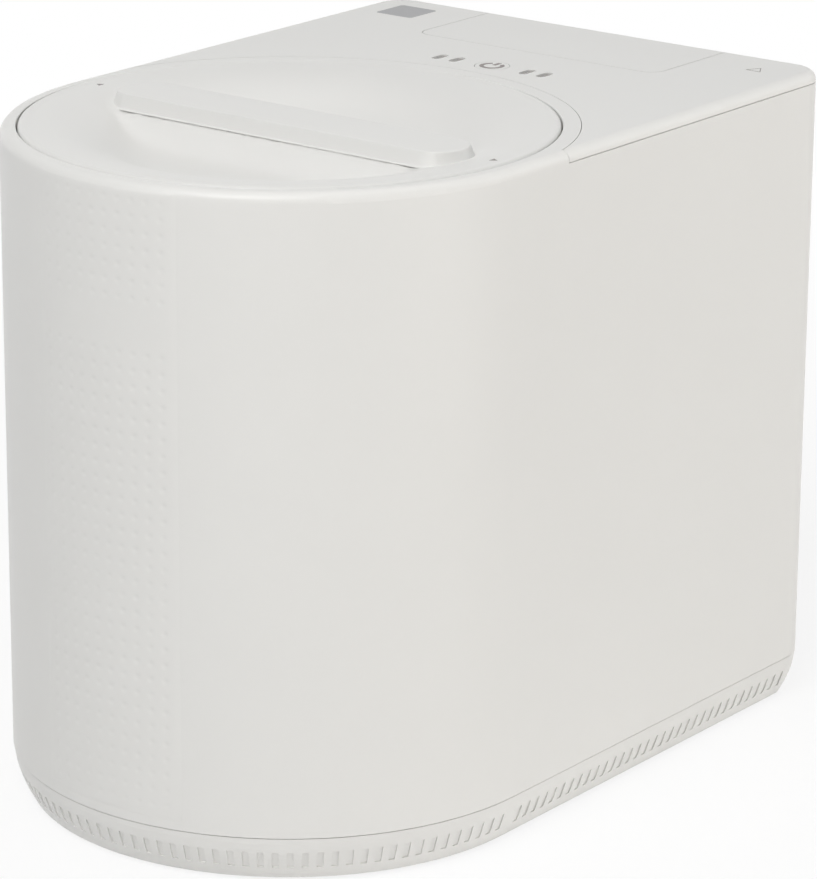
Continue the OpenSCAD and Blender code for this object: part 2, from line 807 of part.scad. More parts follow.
module fan_impeller() {
    h = fan_t - 8;
    color(grey) translate([0, fan_y + 2, cart_z]) rotate([-90, 0, 0]) {
        difference() {
            union() {
                cylinder(r = 13, h = h);
                for (i = [0:blades - 1]) rotate(i * 360 / blades) translate([12, 0, h / 2])
                    rotate([38, 0, 0]) translate([0, -9, -0.8]) cube([fan_r - 14, 18, 1.6]);
            }
            translate([0, 0, 3]) cylinder(r = 2 + run_gap, h = h);
        }
    }
}

module air_duct() {
    y0 = nose_y + well_r + well_t + gap;
    color(grey) translate([0, 0, cart_z]) {
        difference() {
            union() {
                translate([0, y0, 0]) rotate([-90, 0, 0])
                    cylinder(r = duct_r + 2.4, h = fan_y - y0 - 5);
                translate([-fan_w / 2, fan_y - 6, -fan_w / 2]) cube([fan_w, 5.8, fan_w]);
            }
            translate([0, y0 - 1, 0]) rotate([-90, 0, 0]) cylinder(r = duct_r, h = duct_l);
            translate([0, fan_y - 4, 0]) rotate([-90, 0, 0]) cylinder(r = fan_r, h = 6);
        }
    }
}

// Well and heater

module well_port() {
    translate([0, nose_y + well_r / 2, cart_z]) rotate([-90, 0, 0]) cylinder(r = duct_r, h = well_r);
}

module well_can() {
    color(steel) difference() {
        at_nose(well_z) {
            ring(well_r + well_t, well_r, flange_z - well_z - 0.2);
            difference() {
                cylinder(r = well_r + 0.2, h = well_t);
                translate([0, 0, -1]) cylinder(r = dog_r + 4, h = well_t + 2);
            }
            translate([0, 0, flange_z - well_z - well_t]) ring(ring_r + collar_t, well_r, well_t);
        }
        well_port();
        translate([sensor_x, nose_y, well_z - 1]) cylinder(r = sensor_r + 0.1, h = well_t + 2);
    }
}

module insulation_sleeve() {
    color([0.8, 0.8, 0.75]) difference() {
        at_nose(well_z + 12)
            ring(well_r + well_t + felt_t, well_r + well_t + 0.1, flange_z - well_z - 30);
        translate([0, nose_y + well_r / 2, cart_z]) rotate([-90, 0, 0])
            cylinder(r = duct_r + 2.8, h = well_r);
    }
}

module bayonet_ring() {
    notch_a = lug_a + 4;
    stop_a = 3;
    color(grey) at_nose(flange_z) {
        bayonet_flange(notch_a);
        for (i = [0:lugs - 1]) rotate(45 + i * 360 / lugs - lid_turn - lug_a / 2 - 1 - stop_a)
            rotate_extrude(angle = stop_a) translate([lug_ring_r + 0.8, 0])
                square([lug_out + 1, gallery_h + 0.5]);
    }
}

module bayonet_flange(notch_a) {
    difference() {
        cylinder(r = ring_r + collar_t, h = bayonet_h);
        translate([0, 0, -1]) cylinder(r = lug_ring_r + lug_out + 0.8, h = gallery_h + 1);
        translate([0, 0, -1]) cylinder(r = lug_ring_r + 0.6, h = bayonet_h + 2);
        for (i = [0:lugs - 1]) rotate(45 + i * 360 / lugs - notch_a / 2)
            translate([0, 0, gallery_h - 1])
                rotate_extrude(angle = notch_a)
                    square([lug_ring_r + lug_out + 0.8, bayonet_h]);
    }
}

module heater_plate() {
    color(steel) at_nose(well_floor) difference() {
        cylinder(r = bucket_r - 6, h = heater_t);
        translate([0, 0, -1]) cylinder(r = step_r + 2, h = heater_t + 2);
        translate([sensor_x, 0, -1]) cylinder(r = sensor_r + 0.1, h = heater_t + 2);
        translate([0, 0, -1]) ring(68, 58, 6);
    }
}

module temp_sensor() {
    color(steel) translate([sensor_x, nose_y, well_z - 6])
        cylinder(r = sensor_r, h = heater_top + 0.1 - well_z + 6);
}

// Drive

module case_shape(grow, z0, z1) {
    for (c = case_at) translate([c[0], c[1], z0]) cylinder(r = c[2] + grow, h = z1 - z0);
    translate([-motor_r - grow, idler_y, z0]) cube([2 * (motor_r + grow), motor_y - idler_y, z1 - z0]);
}

module gear_case() {
    color(grey) difference() {
        union() {
            difference() {
                case_shape(gear_wall, case_z, cover_z);
                case_shape(0, case_in_z, cover_z + 1);
            }
            at_each(cover_screw_at, case_z) cylinder(r = post_r, h = cover_z - case_z);
            at_nose(case_z) cylinder(r = bush_r + 3, h = boss_rise);
            translate([0, idler_y, case_z]) cylinder(r = pin_r + 5, h = boss_rise);
        }
        at_nose(case_z - 1) cylinder(r = bush_r, h = 20);
        translate([0, idler_y, case_z - 1]) cylinder(r = pin_r, h = 20);
        at_each(cover_screw_at, case_z + 6) cylinder(r = 1.6, h = 60);
    }
}

module gear_case_cover() {
    color(grey) difference() {
        union() {
            case_shape(gear_wall, cover_z, cover_top);
            at_each(cover_screw_at, cover_z) cylinder(r = post_r, h = gear_wall);
        }
        at_nose(cover_z - 1) cylinder(r = bush_r, h = gear_wall + 2);
        translate([0, idler_y, cover_z - 1]) cylinder(r = pin_r, h = gear_wall + 2);
        translate([0, motor_y, cover_z - 1]) cylinder(r = 8, h = gear_wall + 2);
        at_each(cover_screw_at, cover_z - 1) cylinder(r = 1.8, h = gear_wall + 2);
        for (x = [-1, 1]) translate([x * motor_screw_x, motor_y, cover_z - 1])
            cylinder(r = 1.8, h = gear_wall + 2);
    }
}

module cover_screws() {
    color(steel) at_each(cover_screw_at, cover_top + 2) rotate([180, 0, 0]) translate([0, 0, 2])
        screw(1.5, 14, 3, 1.8);
}

module spindle() {
    color(steel) at_nose() {
        translate([0, 0, case_z + 0.6]) cylinder(r = spindle_r, h = drive_z - case_z);
        translate([0, 0, drive_z]) cylinder(r = dog_r, h = jaw_z - drive_z);
        jaws(jaw_z - 0.1, jaw_h + 0.1, 30);
    }
}

// Three jaws of the coupling, standing on height z
module jaws(z, h, turn) {
    for (i = [0:2]) rotate(i * 120 + turn - jaw_a / 2) translate([0, 0, z])
        rotate_extrude(angle = jaw_a) translate([6, 0]) square([dog_r - 6.4, h]);
}

module drive_gear() {
    color(steel) at_nose(slow_z) rotate(90)
        gear(teeth_drive, mod_slow, tooth_play * teeth_slow / teeth_drive, gear_t, spindle_r);
}

module idler_gear() {
    half_tooth = 180 / teeth_slow;
    color(brass) translate([0, idler_y, 0]) {
        translate([0, 0, slow_z - 3]) rotate(-90 + half_tooth)
            gear(teeth_slow, mod_slow, tooth_play, gear_t + 4, pin_r + run_gap);
        translate([0, 0, fast_z]) rotate(90)
            gear(teeth_idler, mod_fast, tooth_play * teeth_motor / teeth_idler, gear_t, pin_r + run_gap);
        translate([0, 0, fast_z + gear_t - 0.1]) ring(10, pin_r + run_gap, slow_z - fast_z - gear_t - 2.8);
    }
}

module idler_pin() {
    color(steel) translate([0, idler_y, case_z]) cylinder(r = pin_r, h = cover_top - case_z);
}

module lower_bush() {
    color(brass) at_nose(case_z) ring(bush_r, spindle_r + run_gap, 11);
}

module upper_bush() {
    color(brass) at_nose(cover_z - 3) ring(bush_r, spindle_r + run_gap, gear_wall + 5);
}

module spindle_seal() {
    color(dark) at_nose(well_z - 2) ring(dog_r + 4, dog_r + gap, 7);
}

module motor_can() {
    color(steel) translate([0, motor_y, cover_top]) difference() {
        rotate_extrude() puck_2d(motor_r, motor_h, 3);
        translate([0, 0, can_end]) cylinder(r = armature_r + 0.6, h = motor_h - 2 * can_end);
        translate([0, 0, -1]) cylinder(r = pin_r + run_gap, h = motor_h - 3);
        for (x = [-1, 1]) translate([x * motor_screw_x, 0, -1]) cylinder(r = 1.5, h = 7);
    }
}

// Shaft with the pinion and the armature
module motor_rotor() {
    half_tooth = 180 / teeth_motor;
    color(steel) translate([0, motor_y, 0]) {
        translate([0, 0, fast_z - 2]) cylinder(r = pin_r, h = cover_top + motor_h - 6 - fast_z);
        translate([0, 0, cover_top + can_end + 2])
            cylinder(r = armature_r, h = motor_h - 2 * can_end - 4);
        translate([0, 0, fast_z - 1]) rotate(-90 + half_tooth)
            gear(teeth_motor, mod_fast, tooth_play, gear_t + 2, pin_r - 0.5);
    }
}

module motor_screws() {
    color(steel) for (x = [-1, 1]) translate([x * motor_screw_x, motor_y, cover_z]) screw(1.45, 8, 3, 1.8);
}

// Lid

dish_radii = [for (i = [0:20]) dish_flat_r + (dish_r - dish_flat_r) * i / 20];

function s_curve(t) = t < 0.5 ? 2 * t * t : 1 - 2 * (1 - t) * (1 - t);

function dish_z(r) = r >= dish_r ? 0 :
    -dish_depth * s_curve(min((dish_r - r) / (dish_r - dish_flat_r), 1));

// Half outline of the lid's dished skin, its upper face at level 0
module lid_skin_2d() {
    n = len(dish_radii) - 1;
    difference() {
        union() {
            polygon([[0, -dish_depth], for (r = dish_radii) [r, dish_z(r)], [lid_r - lid_edge_r, 0],
                [lid_r - lid_edge_r, -lid_t],
                for (i = [n:-1:0]) [dish_radii[i], dish_z(dish_radii[i]) - lid_t],
                [0, -dish_depth - lid_t]]);
            translate([lid_r - 2 * lid_edge_r - 4, -collar_h + gap])
                puck_2d(2 * lid_edge_r + 4, collar_h - gap, lid_edge_r);
        }
        translate([lid_r - 2 * lid_edge_r - 5, -collar_h])
            square([2 * lid_edge_r + 5 - lid_t, collar_h - lid_t]);
    }
}

// Outline of the ridge under the bar, across the bar
module ridge_2d() {
    n = 10;
    fall = dish_depth - ridge_drop + 0.5;
    reach = dish_flat_r - ridge_half;
    side = [for (i = [0:n]) let (t = i / n)
        [ridge_half + reach * t, -ridge_drop - fall * (1 - pow(1 - t, 2.4))]];
    polygon(concat([for (p = side) p], [for (i = [n:-1:0]) [-side[i][0], side[i][1]]]));
}

module lid() {
    ridge_l = 2 * (dish_r - 12);
    color(white) at_nose(body_top) {
        difference() {
            union() {
                rotate_extrude() lid_skin_2d();
                intersection() {
                    translate([-ridge_l / 2, 0, 0]) rotate([90, 0, 90]) linear_extrude(ridge_l) ridge_2d();
                    translate([0, 0, -dish_depth - lid_t]) cylinder(r = dish_r - 12, h = dish_depth + lid_t);
                }
                translate([0, 0, lug_z - body_top])
                    ring(lug_ring_r, lug_ring_r - lid_t, body_top - lug_z - 2);
                lid_lugs();
                translate([0, 0, liner_z - 2.4 - body_top])
                    cylinder(r = hub_r, h = dish_under + 2 - liner_z + 2.4);
            }
            translate([0, 0, liner_z - 4 - body_top]) cylinder(r = 1.9, h = 12);
            handle_screw_places() translate([0, 0, -dish_depth - lid_t - 1]) {
                cylinder(r = 1.8, h = 30);
                cylinder(r = 4.2, h = 4);
            }
        }
    }
}

module lid_lugs() {
    for (i = [0:lugs - 1]) rotate(45 + i * 360 / lugs - lug_a / 2)
        translate([0, 0, lug_z - body_top]) rotate_extrude(angle = lug_a)
            translate([lug_ring_r - 1, 0]) square([lug_out + 1, lug_h]);
}

module handle_screw_places() {
    for (side = [-1, 1]) translate([side * 40, 0, 0]) children();
}

module lid_handle() {
    web_w = 2 * ridge_half - 6;
    web_h = ridge_drop + bar_rise - bar_t;
    color(white) at_nose(body_top) difference() {
        union() {
            translate([0, 0, bar_rise - bar_t]) bar_block(bar_l, bar_w, bar_t, bar_r);
            translate([0, 0, -ridge_drop]) bar_block(2 * (dish_r - 24), web_w, web_h + 1);
        }
        dish_space();
        handle_screw_places() translate([0, 0, -20]) cylinder(r = 1.3, h = 20);
    }
}

// Everything under the dish's upper face
module dish_space() {
    rotate_extrude() polygon([[0, -dish_depth - 5], [0, -dish_depth],
        for (r = dish_radii) [r, dish_z(r)], [dish_r + 3, 0], [dish_r + 3, -dish_depth - 5]]);
}

module handle_screws() {
    color(steel) at_nose(body_top - dish_depth - lid_t + 3) handle_screw_places()
        screw(1.25, dish_depth + lid_t - 4, 3.6, 1.6);
}

module hub_screw() {
    color(steel) at_nose(liner_z - 2.4) {
        screw(1.85, 8, 3.6, 2);
        difference() {
            translate([0, 0, -1.6]) cylinder(r = hub_r + 5, h = 1.6);
            translate([0, 0, -2]) cylinder(r = 3.7, h = 1.8);
            translate([0, 0, -2]) cylinder(r = 1.9, h = 4);
        }
    }
}

module lid_liner() {
    color(grey) at_nose(liner_z) difference() {
        union() {
            cylinder(r = liner_r, h = liner_t);
            translate([0, 0, -2]) cylinder(r = hub_r + 3, h = liner_t + 2);
        }
        translate([0, 0, -3]) cylinder(r = hub_r + run_gap, h = liner_t + 4);
    }
}

module lid_gasket() {
    color(dark) at_nose(liner_z - 0.5) difference() {
        cylinder(r = well_r - gap, h = liner_t + 1);
        translate([0, 0, -1]) cylinder(r = liner_r - 4, h = 1.5);
        translate([0, 0, 0.5]) cylinder(r = liner_r, h = liner_t);
        translate([0, 0, liner_t]) cylinder(r = liner_r - 4, h = 2);
    }
}

// Bucket and grinder

// Wall of the bucket, standing on its base
module bucket() {
    color(steel) at_nose(bucket_z + bucket_floor)
        ring(bucket_r, bucket_r - bucket_t, bucket_h - bucket_floor - rim_t);
}

// Floor of the bucket with the step over the coupling and the boss for the shaft
module bucket_base() {
    color(steel) at_nose() difference() {
        rotate_extrude() {
            translate([step_r, bucket_z]) square([bucket_r - step_r, bucket_floor]);
            translate([step_r, bucket_z]) square([step_wall, step_z + step_wall - bucket_z]);
            translate([0, step_z]) square([step_r + step_wall, step_wall]);
            translate([0, step_z]) square([boss_wall_r, boss_top - step_z]);
        }
        translate([0, 0, step_z - 1]) cylinder(r = bush_out_r, h = boss_top);
    }
}

// Rim of the bucket with the two ears that the bail hangs in
module bucket_rim() {
    color(steel) at_nose() difference() {
        union() {
            translate([0, 0, rim_z - rim_t]) ring(rim_r, bucket_r - bucket_t, rim_t);
            bucket_ears();
        }
        translate([-rim_r - 1, 0, bail_z]) rotate([0, 90, 0])
            cylinder(r = bail_d / 2 - 0.5 + run_gap, h = 2 * rim_r + 2);
    }
}

module bucket_ears() {
    for (side = [-1, 1]) {
        translate([side * (rim_r - 3) - 1.5, -ear_r, rim_z - 1]) cube([3, 2 * ear_r, bail_z - rim_z + 1]);
        translate([side * (rim_r - 3) - 1.5, 0, bail_z]) rotate([0, 90, 0]) cylinder(r = ear_r, h = 3);
    }
}

// Two fixed bars on the bucket's wall that the grinder's upper bars pass
module breaker_bars() {
    inner = bucket_r - bucket_t;
    bar_from = hub_out_r + breaker_room;
    color(steel) at_nose(arm_top + 5) intersection() {
        for (side = [-1, 1]) translate([side > 0 ? bar_from : -inner, -breaker_w / 2, 0])
            cube([inner - bar_from, breaker_w, 6]);
        cylinder(r = inner, h = 6);
    }
}

module bucket_bail() {
    r = rim_r - 7.8;
    leg = 4;
    color(steel) at_nose(bail_z) {
        translate([0, -leg, 0]) rotate([0, 0, 180]) rotate_extrude(angle = 180)
            translate([r, 0]) circle(r = bail_d / 2);
        for (side = [-1, 1]) {
            translate([side * r, -leg, 0]) rotate([-90, 0, 0]) cylinder(r = bail_d / 2, h = leg + 2);
            translate([side > 0 ? r : -rim_r + 1, 0, 0]) rotate([0, 90, 0])
                cylinder(r = bail_d / 2 - 0.5, h = rim_r - 1 - r);
        }
    }
}

module bucket_bush() {
    color(brass) at_nose(step_z - 0.8) ring(bush_out_r, shaft_r + run_gap, boss_top - step_z + 0.8);
}

module bucket_seal() {
    color(dark) at_nose(boss_top) ring(boss_wall_r - 1, shaft_r + gap, 3.2);
}

module grinder_arm() {
    inner = step_r + 7;
    low = bucket_z + bucket_floor + 2.6;
    rotate([90, 0, 0]) linear_extrude(7, center = true)
        polygon([[9, hub_z + 0.6], [9, arm_top], [inner + 20, arm_top - 2], [sweep_r, arm_top - 6],
            [sweep_r, low], [inner, low], [inner, hub_z - 3]]);
}

module grinder() {
    color(steel) at_nose() difference() {
        union() {
            translate([0, 0, hub_z]) cylinder(r = hub_out_r, h = hub_h);
            for (i = [0:arms - 1]) rotate(30 + i * 360 / arms) grinder_arm();
            for (i = [0:1]) rotate(100 + i * 180)
                translate([hub_out_r - 6, -3, hub_z + hub_h - 10]) cube([sweep_r - hub_out_r + 2, 6, 9]);
        }
        translate([0, 0, hub_z - 1]) cylinder(r = shaft_r, h = hub_h - 4);
    }
}

module grinder_shaft() {
    color(steel) at_nose() {
        translate([0, 0, dog_z + 0.1]) cylinder(r = shaft_r, h = hub_z + hub_h - 5 - dog_z - 0.1);
        translate([0, 0, dog_z]) cylinder(r = dog_r, h = dog_t);
        jaws(jaw_z + gap, jaw_h + 0.1, 90);
    }
}

// Controls

module power_key() {
    stem_z = board_top + 2 + gap + key_travel;
    color(white) translate([row_x, row_y, 0]) {
        translate([0, 0, body_top - 3.4]) cylinder(r = key_r, h = 3.4);
        translate([0, 0, body_top - deck_t - gap - 1]) cylinder(r = key_r + 2, h = 1);
        translate([0, 0, stem_z]) cylinder(r = 3, h = body_top - 3.2 - stem_z);
    }
}

module key_switch() {
    color(dark) translate([row_x, row_y, board_top]) {
        translate([-4, -4, 0]) cube([8, 8, 1.6]);
        cylinder(r = 2, h = 2);
    }
}

module dash_lenses() {
    color(grey) translate([row_x, row_y, body_top - deck_t - 0.6]) dash_places()
        slot_block(dash_w, dash_l, deck_t + 0.6 - dash_sink);
}

module control_board() {
    color(green) translate([row_x - board_w / 2, row_y - 12, board_top - board_t])
        cube([board_w, 24, board_t]);
}

module power_board() {
    color(green) translate([power_x, power_y, power_z]) cube([power_w, power_d, board_t]);
}

module transformer() {
    color(dark) translate([power_x + 4, power_y + 3, parts_z]) {
        cube([36, 40, 8]);
        translate([4, 6, 7.9]) cube([28, 28, 14]);
        translate([0, 0, 21.8]) cube([36, 40, 8]);
    }
}

module power_relay() {
    color(dark) translate([power_x + 2, power_y + 62, parts_z]) cube([19, 18, 16]);
}

module heat_sink() {
    color(grey) translate([power_x + 24, power_y + 62, parts_z]) {
        cube([18, 3, 34]);
        for (i = [0:3]) translate([i * 5.2, 2.9, 0]) cube([2.4, 9, 34]);
    }
}

module capacitors() {
    color(grey) for (i = [0, 1]) translate([power_x + 12 + i * 18, power_y + 53, parts_z])
        rotate_extrude() puck_2d(6.5, 26, 1);
}

body_shell();
top_deck();
deck_plate();
base_pan();
feet();
base_screws();
back_panel();
back_screws();
inlet_socket();
inlet_blades();
rear_hatch();
filter_case();
filter_left();
filter_right();
filter_seals();
fan_frame();
fan_impeller();
air_duct();
well_can();
insulation_sleeve();
bayonet_ring();
heater_plate();
temp_sensor();
gear_case();
gear_case_cover();
cover_screws();
spindle();
drive_gear();
idler_gear();
idler_pin();
lower_bush();
upper_bush();
spindle_seal();
motor_can();
motor_rotor();
motor_screws();
lid();
lid_handle();
handle_screws();
hub_screw();
lid_liner();
lid_gasket();
bucket();
bucket_base();
bucket_rim();
breaker_bars();
bucket_bail();
bucket_bush();
bucket_seal();
grinder();
grinder_shaft();
power_key();
key_switch();
dash_lenses();
control_board();
power_board();
transformer();
power_relay();
heat_sink();
capacitors();
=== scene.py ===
"""Looks of the food waste composter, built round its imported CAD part."""

import json
import math
from types import SimpleNamespace

import bmesh
import bpy
from bpy.props import FloatProperty, FloatVectorProperty, PointerProperty
from mathutils import Matrix, Vector


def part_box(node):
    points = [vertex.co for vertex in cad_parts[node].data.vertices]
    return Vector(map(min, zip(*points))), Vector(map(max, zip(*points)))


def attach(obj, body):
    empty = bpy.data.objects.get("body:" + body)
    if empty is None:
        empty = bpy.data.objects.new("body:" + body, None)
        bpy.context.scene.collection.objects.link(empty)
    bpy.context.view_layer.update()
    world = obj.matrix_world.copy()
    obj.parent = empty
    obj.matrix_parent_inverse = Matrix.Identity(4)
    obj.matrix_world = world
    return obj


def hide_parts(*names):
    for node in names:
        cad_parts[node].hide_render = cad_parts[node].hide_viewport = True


bl_info = {
    "name": "Food waste composter",
    "version": (1, 0, 0),
    "blender": (4, 5, 0),
    "location": "View3D > Sidebar > Composter",
    "description": "Finishes and visible details of a food waste composter",
    "category": "Object",
}

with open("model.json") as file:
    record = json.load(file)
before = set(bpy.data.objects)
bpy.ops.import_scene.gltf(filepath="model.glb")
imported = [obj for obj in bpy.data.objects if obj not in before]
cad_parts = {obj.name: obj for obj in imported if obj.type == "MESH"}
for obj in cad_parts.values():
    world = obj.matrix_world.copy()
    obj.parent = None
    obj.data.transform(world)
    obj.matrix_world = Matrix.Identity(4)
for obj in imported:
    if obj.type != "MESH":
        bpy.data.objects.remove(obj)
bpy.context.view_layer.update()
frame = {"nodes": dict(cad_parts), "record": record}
NODES = frame["nodes"]
MM = 0.001
# Two corners nearer than this many millimetres count as one
NEAR = 0.01


def top_of(node):
    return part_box(node)[1].z


def middle_of(node):
    low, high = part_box(node)
    return (low + high) / 2


HOUSING_LOW, HOUSING_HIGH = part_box("body_shell")
RIM_Z = HOUSING_HIGH.z
NOSE_R = HOUSING_HIGH.x
NOSE_Y = HOUSING_LOW.y + NOSE_R
LID_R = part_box("lid")[1].x
KEY_AT = middle_of("power_key")


class ComposterColours(bpy.types.PropertyGroup):
    white: FloatVectorProperty(
        name="Housing white", description="Colour of the moulded housing and lid",
        subtype="COLOR", size=3, min=0, max=1, default=(0.765, 0.76, 0.745))
    plate: FloatVectorProperty(
        name="Deck plate", description="Colour of the square plate on the deck",
        subtype="COLOR", size=3, min=0, max=1, default=(0.30, 0.30, 0.31))
    lens: FloatVectorProperty(
        name="Lenses", description="Colour of the four light dashes when they are off",
        subtype="COLOR", size=3, min=0, max=1, default=(0.36, 0.34, 0.33))
    floor: FloatVectorProperty(
        name="Floor", description="Colour of the floor and backdrop",
        subtype="COLOR", size=3, min=0, max=1, default=(0.95, 0.95, 0.95))


def length(name, description, millimetres):
    return FloatProperty(name=name, description=description, default=millimetres * MM,
                         subtype="DISTANCE", unit="LENGTH", precision=5)


class ComposterSizes(bpy.types.PropertyGroup):
    lid_rim: length("Lid rim", "Width of the lid's flat rim", 6.6)
    dish_flat: length("Dish bottom", "Radius of the dish's flat bottom", 55)
    dish_depth: length("Dish depth", "Depth of the dish", 17)
    ridge_half: length("Ridge", "Half the width of the ridge under the bar", 18.4)
    ridge_drop: length("Ridge drop", "How deep below the rim the ridge lies", 4.6)
    flank: length("Flank", "Width of the slope from the ridge down into the dish", 25)
    bar_slant: length("Bar slant", "How far the bar's sides lean in over their height", 2.5)
    bar_edge: length("Bar edge", "Rounding of the bar's upper edge", 0.7)
    lid_edge: length("Lid edge", "How far the lid's edge stands proud of its rim", 0.5)
    hollow: length("Hollow", "Softness of the hollow where ridge and dish meet", 3.0)
    dimple_top: length("Top row", "Height of the top row of dimples", 320.6)
    dimple_rise: length("Row distance", "Distance between the upper rows", 7.55)
    dimple_rise_low: length("Lower row distance", "Distance between the lower rows", 7.66)
    dimple_step: length("Column distance", "Distance between columns round the nose", 7.4)
    bare_band: length("Bare band", "Height of the bare band across the field", 18.3)
    dimple_radius: length("Dimple radius", "Radius of a dimple", 2.3)
    dimple_depth: length("Dimple depth", "Depth of a dimple", 0.22)


class ComposterView(bpy.types.PropertyGroup):
    distance: FloatProperty(
        name="Camera distance", description="From the camera to the middle of the object",
        subtype="DISTANCE", unit="LENGTH", default=2.0566)
    turn: FloatProperty(
        name="Camera turn", description="How far the camera stands to the right of the nose",
        subtype="ANGLE", unit="ROTATION", default=math.radians(38.40))
    tilt: FloatProperty(
        name="Camera tilt", description="How far the camera looks down",
        subtype="ANGLE", unit="ROTATION", default=math.radians(17.75))
    roll: FloatProperty(
        name="Camera roll", description="How far the camera leans to its right",
        subtype="ANGLE", unit="ROTATION", default=math.radians(0.39))


def in_mm(sizes):
    """The sizes as plain numbers, in millimetres."""
    return SimpleNamespace(**{name: getattr(sizes, name) / MM for name in sizes.__annotations__})


# Materials


def node_graph(name):
    material = bpy.data.materials.new(name)
    material.use_nodes = True
    return material, material.node_tree


def add_node(tree, kind, **values):
    made = tree.nodes.new(kind)
    for key, value in values.items():
        if key in made.inputs:
            made.inputs[key].default_value = value
        else:
            setattr(made, key, value)
    return made


def finish(name, colour, rough, grain_mm=0.35, bump=0.05, vary=0.03, metal=0.0, blotch_mm=40.0,
           rough_vary=0.05, specular=0.5, stretch=(1, 1, 1), coat=0.0, sheen=0.0):
    """A finish with fine grain in its bump and gloss, and a slow drift in its colour."""
    material, tree = node_graph(name)
    shader = tree.nodes["Principled BSDF"]
    shader.inputs["Metallic"].default_value = metal
    shader.inputs["Specular IOR Level"].default_value = specular
    shader.inputs["Coat Weight"].default_value = coat
    shader.inputs["Sheen Weight"].default_value = sheen
    place = add_node(tree, "ShaderNodeTexCoord")
    scale = add_node(tree, "ShaderNodeMapping")
    scale.inputs["Scale"].default_value = stretch
    tree.links.new(place.outputs["Object"], scale.inputs["Vector"])
    grain = add_node(tree, "ShaderNodeTexNoise", Scale=1000 / grain_mm / 2, Detail=2.0)
    drift = add_node(tree, "ShaderNodeTexNoise", Scale=1000 / blotch_mm / 2, Detail=3.0)
    tree.links.new(scale.outputs["Vector"], grain.inputs["Vector"])
    tree.links.new(place.outputs["Object"], drift.inputs["Vector"])
    shade = add_node(tree, "ShaderNodeMapRange")
    shade.inputs["To Min"].default_value = 1 - vary
    shade.inputs["To Max"].default_value = 1 + vary
    tree.links.new(drift.outputs["Fac"], shade.inputs["Value"])
    tint = add_node(tree, "ShaderNodeMix", data_type="RGBA", blend_type="MULTIPLY")
    tint.inputs["Factor"].default_value = 1.0
    tint.inputs["A"].default_value = (*colour, 1)
    tree.links.new(shade.outputs["Result"], tint.inputs["B"])
    tree.links.new(tint.outputs["Result"], shader.inputs["Base Color"])
    gloss = add_node(tree, "ShaderNodeMapRange")
    gloss.inputs["To Min"].default_value = max(0.0, rough - rough_vary)
    gloss.inputs["To Max"].default_value = min(1.0, rough + rough_vary)
    tree.links.new(grain.outputs["Fac"], gloss.inputs["Value"])
    tree.links.new(gloss.outputs["Result"], shader.inputs["Roughness"])
    relief = add_node(tree, "ShaderNodeBump", Strength=1.0, Distance=bump * MM)
    tree.links.new(grain.outputs["Fac"], relief.inputs["Height"])
    tree.links.new(relief.outputs["Normal"], shader.inputs["Normal"])
    return material


FINISHES = {}


def make_finishes(colours):
    white = tuple(colours.white)
    FINISHES.update({
        "housing_white": finish("Moulded white", white, 0.42, 0.5, 0.02, 0.01),
        # Print on the key and the deck; on the lid's two triangles this grey is painted shade
        "mark_grey": finish("Printed grey and painted shade", (0.24, 0.215, 0.205), 0.5, 0.3, 0.0, 0.02),
        "grey_plate": finish("Plate grey", tuple(colours.plate), 0.35, 0.3, 0.01, 0.02),
        "lens_grey": finish("Smoked lens", tuple(colours.lens), 0.2, 0.3, 0.0, 0.01, coat=0.4),
        "rubber_black": finish("Black rubber", (0.035, 0.035, 0.038), 0.75, 0.4, 0.05, 0.05),
        "silicone_grey": finish("Grey silicone", (0.33, 0.34, 0.35), 0.6, 0.6, 0.02, 0.03),
        "steel": finish("Brushed steel", (0.62, 0.62, 0.61), 0.3, 0.4, 0.02, 0.04, 1.0, 60,
                        0.12, stretch=(1, 1, 0.05)),
        "bucket_metal": finish("Coated aluminium", (0.30, 0.30, 0.31), 0.45, 0.8, 0.05, 0.05, 0.6),
        "bare_aluminium": finish("Cast aluminium", (0.68, 0.68, 0.69), 0.45, 1.2, 0.08, 0.05, 1.0),
        "brass": finish("Turned brass", (0.72, 0.55, 0.25), 0.3, 0.4, 0.02, 0.04, 1.0),
        "black_plastic": finish("Black plastic", (0.035, 0.035, 0.04), 0.5, 0.6, 0.04, 0.05),
        "nylon": finish("Natural nylon", (0.72, 0.70, 0.62), 0.5, 0.8, 0.02, 0.03),
        "inner_plastic": finish("Inner plastic", (0.42, 0.43, 0.44), 0.5, 0.7, 0.03, 0.03),
        "felt": finish("Needled felt", (0.66, 0.64, 0.58), 0.95, 1.6, 0.5, 0.12, sheen=0.3),
        "board_green": finish("Lacquered board", (0.03, 0.16, 0.08), 0.3, 2.0, 0.01, 0.08),
        "carbon": finish("Dark cartridge", (0.06, 0.06, 0.065), 0.5, 0.6, 0.04, 0.05),
        "motor_steel": finish("Motor can", (0.25, 0.25, 0.27), 0.4, 0.8, 0.03, 0.05, 0.7),
    })


class COMPOSTER_OT_finishes(bpy.types.Operator):
    """Give every CAD node the finish of its material slot"""

    bl_idname = "composter.finishes"
    bl_label = "Finishes"

    def execute(self, context):
        make_finishes(context.scene.composter_colours)
        slots = {row["node"]: row["material_slot"] for row in frame["record"]["subparts"]}
        for name, node in NODES.items():
            node.data.materials.clear()
            node.data.materials.append(FINISHES[slots[name]])
        return {"FINISHED"}


# Pieces


def spun(outline, steps):
    """A full turn of an outline of radius and height, in millimetres."""
    bm = bmesh.new()
    points = [bm.verts.new((radius * MM, 0, height * MM)) for radius, height in outline]
    for start, end in zip(points, points[1:]):
        bm.edges.new((start, end))
    bmesh.ops.spin(bm, geom=bm.verts[:] + bm.edges[:], cent=(0, 0, 0), axis=(0, 0, 1),
                   angle=math.tau, steps=steps, use_merge=True)
    bmesh.ops.remove_doubles(bm, verts=bm.verts, dist=NEAR * MM)
    return bm


